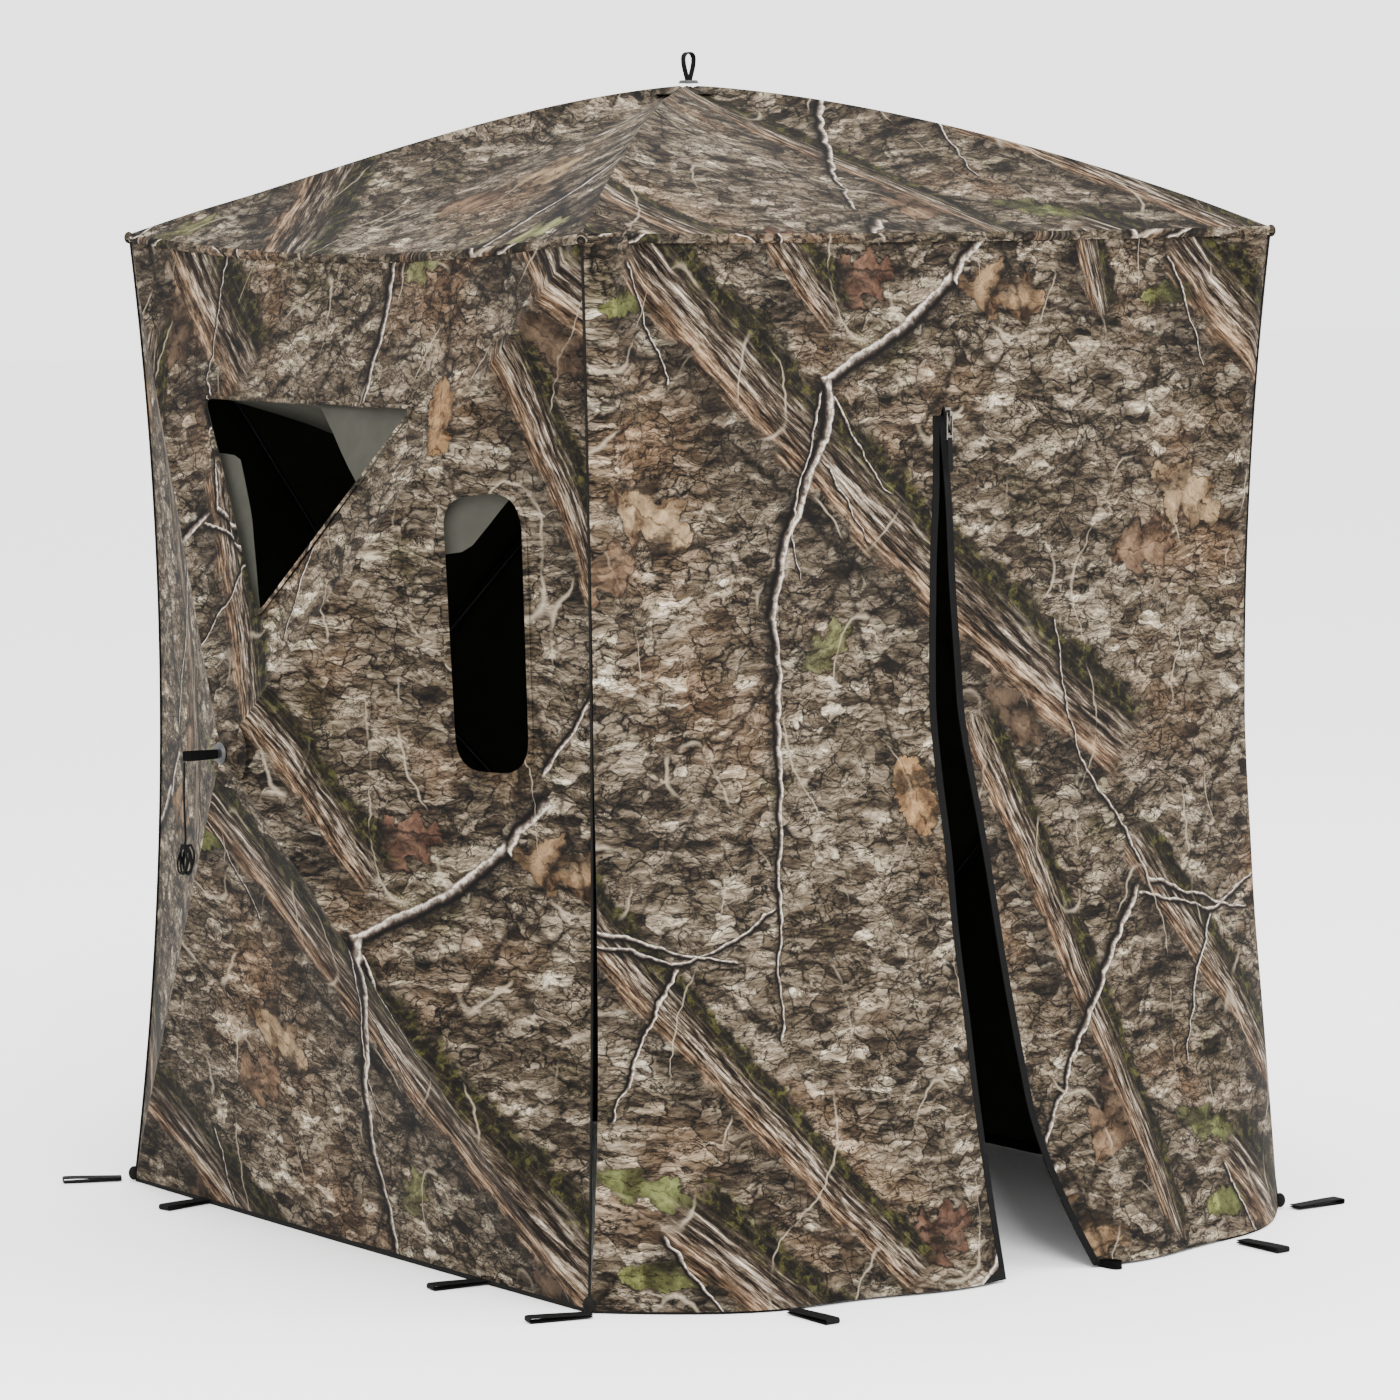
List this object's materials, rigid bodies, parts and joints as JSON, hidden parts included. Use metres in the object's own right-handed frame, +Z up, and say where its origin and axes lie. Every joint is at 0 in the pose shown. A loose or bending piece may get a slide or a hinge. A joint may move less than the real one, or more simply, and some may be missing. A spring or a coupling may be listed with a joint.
{
  "type": "pop up ground blind",
  "caption": "Square camouflage hub tent without a floor: domed roof, three bulging hub walls with sprung poles, two windows, and a front wall split by a zipped door.",
  "frame": {"origin": "on the ground at the centre of the plan", "axes": "+Z up, -Y out of the door wall, -X out of the wall with the windows and guy cord"},
  "size_m": [1.7788, 1.772, 1.728],
  "materials": {
    "camo_cloth": "matte printed woven polyester, brown and grey bark, twigs and leaves, black inside",
    "pole": "black glass fibre rod with metal end sleeves",
    "pin_steel": "plain steel pin",
    "hub_plastic": "moulded black nylon",
    "patch_cloth": "heavy woven patch",
    "webbing": "black woven webbing",
    "binding": "black woven tape",
    "cover_cloth": "dark grey window cover cloth",
    "zip_metal": "cast zinc slider and pull",
    "cord": "black braided cord"
  },
  "bodies": {
    "shell": {"roof_front": "camo_cloth", "roof_right": "camo_cloth", "roof_back": "camo_cloth", "roof_left": "camo_cloth", "left_top": "camo_cloth", "left_bottom": "camo_cloth", "left_front_side": "camo_cloth", "left_back_side": "camo_cloth", "right_wall": "camo_cloth", "back_wall": "camo_cloth", "door_wall": "camo_cloth", "corner_piping": "binding", "corner_pockets": "binding", "hem_tape": "binding", "stake_loops": "webbing"},
    "left_hub_unit": {"left_hub": "hub_plastic", "left_cap": "patch_cloth", "left_pins": "pin_steel", "left_loop": "webbing", "guy_cord": "cord", "guy_hank": "cord"},
    "back_hub_unit": {"back_hub": "hub_plastic", "back_cap": "patch_cloth", "back_pins": "pin_steel", "back_loop": "webbing"},
    "right_hub_unit": {"right_hub": "hub_plastic", "right_cap": "patch_cloth", "right_pins": "pin_steel", "right_loop": "webbing"},
    "left_pole_1": {"left_pole_1": "pole"},
    "left_pole_2": {"left_pole_2": "pole"},
    "left_pole_3": {"left_pole_3": "pole"},
    "left_pole_4": {"left_pole_4": "pole"},
    "back_pole_1": {"back_pole_1": "pole"},
    "back_pole_2": {"back_pole_2": "pole"},
    "back_pole_3": {"back_pole_3": "pole"},
    "back_pole_4": {"back_pole_4": "pole"},
    "right_pole_1": {"right_pole_1": "pole"},
    "right_pole_2": {"right_pole_2": "pole"},
    "right_pole_3": {"right_pole_3": "pole"},
    "right_pole_4": {"right_pole_4": "pole"},
    "roof_hub_unit": {"roof_hub": "hub_plastic", "roof_cap": "patch_cloth", "roof_pins": "pin_steel", "roof_loop": "webbing"},
    "roof_pole_1": {"roof_pole_1": "pole"},
    "roof_pole_2": {"roof_pole_2": "pole"},
    "roof_pole_3": {"roof_pole_3": "pole"},
    "roof_pole_4": {"roof_pole_4": "pole"},
    "peak_frame": {"peak_window_binding": "binding"},
    "slot_frame": {"slot_window_binding": "binding"},
    "peak_cover": {"peak_window_cover": "cover_cloth"},
    "slot_cover": {"slot_window_cover": "cover_cloth"},
    "flap_left": {"flap_left": "camo_cloth", "zip_tape_left": "binding"},
    "flap_right": {"flap_right": "camo_cloth", "zip_tape_right": "binding"},
    "zip_slider": {"zip_slider": "zip_metal"},
    "zip_pull": {"zip_pull": "zip_metal"}
  },
  "joints": [
    {"name": "left_pop", "type": "slide", "parent": "shell", "child": "left_hub_unit", "axis": [1, 0, 0], "range_m": [0, 0.376], "deforming": ["left_top", "left_bottom", "left_front_side", "left_back_side"]},
    {"name": "back_pop", "type": "slide", "parent": "shell", "child": "back_hub_unit", "axis": [0, -1, 0], "range_m": [0, 0.376], "deforming": ["back_wall"]},
    {"name": "right_pop", "type": "slide", "parent": "shell", "child": "right_hub_unit", "axis": [-1, 0, 0], "range_m": [0, 0.376], "deforming": ["right_wall"]},
    {"name": "left_pole_1_hinge", "type": "hinge", "parent": "left_hub_unit", "child": "left_pole_1", "pos_m": [-0.798, -0.01927, 0.754], "axis": [0, -0.7666, -0.6422], "range_deg": [0, 23.34]},
    {"name": "left_pole_2_hinge", "type": "hinge", "parent": "left_hub_unit", "child": "left_pole_2", "pos_m": [-0.798, 0.01927, 0.754], "axis": [0, -0.7666, 0.6422], "range_deg": [0, 23.34]},
    {"name": "left_pole_3_hinge", "type": "hinge", "parent": "left_hub_unit", "child": "left_pole_3", "pos_m": [-0.798, 0.01949, 0.70819], "axis": [0, 0.7603, 0.6496], "range_deg": [0, 23.15]},
    {"name": "left_pole_4_hinge", "type": "hinge", "parent": "left_hub_unit", "child": "left_pole_4", "pos_m": [-0.798, -0.01949, 0.70819], "axis": [0, 0.7603, -0.6496], "range_deg": [0, 23.15]},
    {"name": "back_pole_1_hinge", "type": "hinge", "parent": "back_hub_unit", "child": "back_pole_1", "pos_m": [-0.01927, 0.798, 0.754], "axis": [-0.7666, 0, -0.6422], "range_deg": [0, 23.34]},
    {"name": "back_pole_2_hinge", "type": "hinge", "parent": "back_hub_unit", "child": "back_pole_2", "pos_m": [0.01927, 0.798, 0.754], "axis": [-0.7666, 0, 0.6422], "range_deg": [0, 23.34]},
    {"name": "back_pole_3_hinge", "type": "hinge", "parent": "back_hub_unit", "child": "back_pole_3", "pos_m": [0.01949, 0.798, 0.70819], "axis": [0.7603, 0, 0.6496], "range_deg": [0, 23.15]},
    {"name": "back_pole_4_hinge", "type": "hinge", "parent": "back_hub_unit", "child": "back_pole_4", "pos_m": [-0.01949, 0.798, 0.70819], "axis": [0.7603, 0, -0.6496], "range_deg": [0, 23.15]},
    {"name": "right_pole_1_hinge", "type": "hinge", "parent": "right_hub_unit", "child": "right_pole_1", "pos_m": [0.798, 0.01927, 0.754], "axis": [0, 0.7666, -0.6422], "range_deg": [0, 23.34]},
    {"name": "right_pole_2_hinge", "type": "hinge", "parent": "right_hub_unit", "child": "right_pole_2", "pos_m": [0.798, -0.01927, 0.754], "axis": [0, 0.7666, 0.6422], "range_deg": [0, 23.34]},
    {"name": "right_pole_3_hinge", "type": "hinge", "parent": "right_hub_unit", "child": "right_pole_3", "pos_m": [0.798, -0.01949, 0.70819], "axis": [0, -0.7603, 0.6496], "range_deg": [0, 23.15]},
    {"name": "right_pole_4_hinge", "type": "hinge", "parent": "right_hub_unit", "child": "right_pole_4", "pos_m": [0.798, 0.01949, 0.70819], "axis": [0, -0.7603, -0.6496], "range_deg": [0, 23.15]},
    {"name": "roof_pop", "type": "slide", "parent": "shell", "child": "roof_hub_unit", "axis": [0, 0, -1], "range_m": [0, 0.396], "deforming": ["roof_front", "roof_right", "roof_back", "roof_left"]},
    {"name": "roof_pole_1_hinge", "type": "hinge", "parent": "roof_hub_unit", "child": "roof_pole_1", "pos_m": [0.02121, 0.02121, 1.654], "axis": [0.7071, -0.7071, 0], "range_deg": [0, 27.3]},
    {"name": "roof_pole_2_hinge", "type": "hinge", "parent": "roof_hub_unit", "child": "roof_pole_2", "pos_m": [-0.02121, 0.02121, 1.654], "axis": [0.7071, 0.7071, 0], "range_deg": [0, 27.3]},
    {"name": "roof_pole_3_hinge", "type": "hinge", "parent": "roof_hub_unit", "child": "roof_pole_3", "pos_m": [-0.02121, -0.02121, 1.654], "axis": [-0.7071, 0.7071, 0], "range_deg": [0, 27.3]},
    {"name": "roof_pole_4_hinge", "type": "hinge", "parent": "roof_hub_unit", "child": "roof_pole_4", "pos_m": [0.02121, -0.02121, 1.654], "axis": [-0.7071, -0.7071, 0], "range_deg": [0, 27.3]},
    {"name": "peak_frame_tilt", "type": "hinge", "parent": "shell", "child": "peak_frame", "pos_m": [-0.612, 0, 1.462], "axis": [0, -1, 0], "range_deg": [0, 28.83]},
    {"name": "slot_frame_tilt", "type": "hinge", "parent": "shell", "child": "slot_frame", "pos_m": [-0.58785, -0.58785, 0.928], "axis": [0, 0, -1], "range_deg": [0, 35.28]},
    {"name": "peak_cover_swing", "type": "hinge", "parent": "peak_frame", "child": "peak_cover", "pos_m": [-0.67129, 0, 1.23243], "axis": [0, 1, 0], "range_deg": [0, 70]},
    {"name": "slot_cover_swing", "type": "hinge", "parent": "slot_frame", "child": "slot_cover", "pos_m": [-0.61559, -0.50001, 0.928], "axis": [0, 0, 1], "range_deg": [0, 98]},
    {"name": "flap_left_fold", "type": "hinge", "parent": "shell", "child": "flap_left", "pos_m": [-0.39, -0.77653, 0], "axis": [-0.3021, -0.1259, -0.9449], "range_deg": [0, 110]},
    {"name": "flap_right_fold", "type": "hinge", "parent": "shell", "child": "flap_right", "pos_m": [0.39, -0.77653, 0], "axis": [-0.3021, 0.1259, 0.9449], "range_deg": [0, 110]},
    {"name": "zip_run", "type": "slide", "parent": "shell", "child": "zip_slider", "axis": [0, -0.1537, -0.9881], "range_m": [0, 1.18]},
    {"name": "zip_pull_swing", "type": "hinge", "parent": "zip_slider", "child": "zip_pull", "pos_m": [0, -0.6281, 1.208], "axis": [-1, 0, 0], "range_deg": [0, 95]}
  ],
  "couplings": [
    {"joint": "left_pole_1_hinge", "follows": "left_pop", "rad_per_m": 1.083},
    {"joint": "left_pole_2_hinge", "follows": "left_pop", "rad_per_m": 1.083},
    {"joint": "left_pole_3_hinge", "follows": "left_pop", "rad_per_m": 1.0741},
    {"joint": "left_pole_4_hinge", "follows": "left_pop", "rad_per_m": 1.0741},
    {"joint": "back_pole_1_hinge", "follows": "back_pop", "rad_per_m": 1.083},
    {"joint": "back_pole_2_hinge", "follows": "back_pop", "rad_per_m": 1.083},
    {"joint": "back_pole_3_hinge", "follows": "back_pop", "rad_per_m": 1.0741},
    {"joint": "back_pole_4_hinge", "follows": "back_pop", "rad_per_m": 1.0741},
    {"joint": "right_pole_1_hinge", "follows": "right_pop", "rad_per_m": 1.083},
    {"joint": "right_pole_2_hinge", "follows": "right_pop", "rad_per_m": 1.083},
    {"joint": "right_pole_3_hinge", "follows": "right_pop", "rad_per_m": 1.0741},
    {"joint": "right_pole_4_hinge", "follows": "right_pop", "rad_per_m": 1.0741},
    {"joint": "roof_pole_1_hinge", "follows": "roof_pop", "rad_per_m": 1.2027},
    {"joint": "roof_pole_2_hinge", "follows": "roof_pop", "rad_per_m": 1.2027},
    {"joint": "roof_pole_3_hinge", "follows": "roof_pop", "rad_per_m": 1.2027},
    {"joint": "roof_pole_4_hinge", "follows": "roof_pop", "rad_per_m": 1.2027},
    {"joint": "peak_frame_tilt", "follows": "left_pop", "rad_per_m": 1.3377},
    {"joint": "slot_frame_tilt", "follows": "left_pop", "rad_per_m": 1.6371}
  ]
}
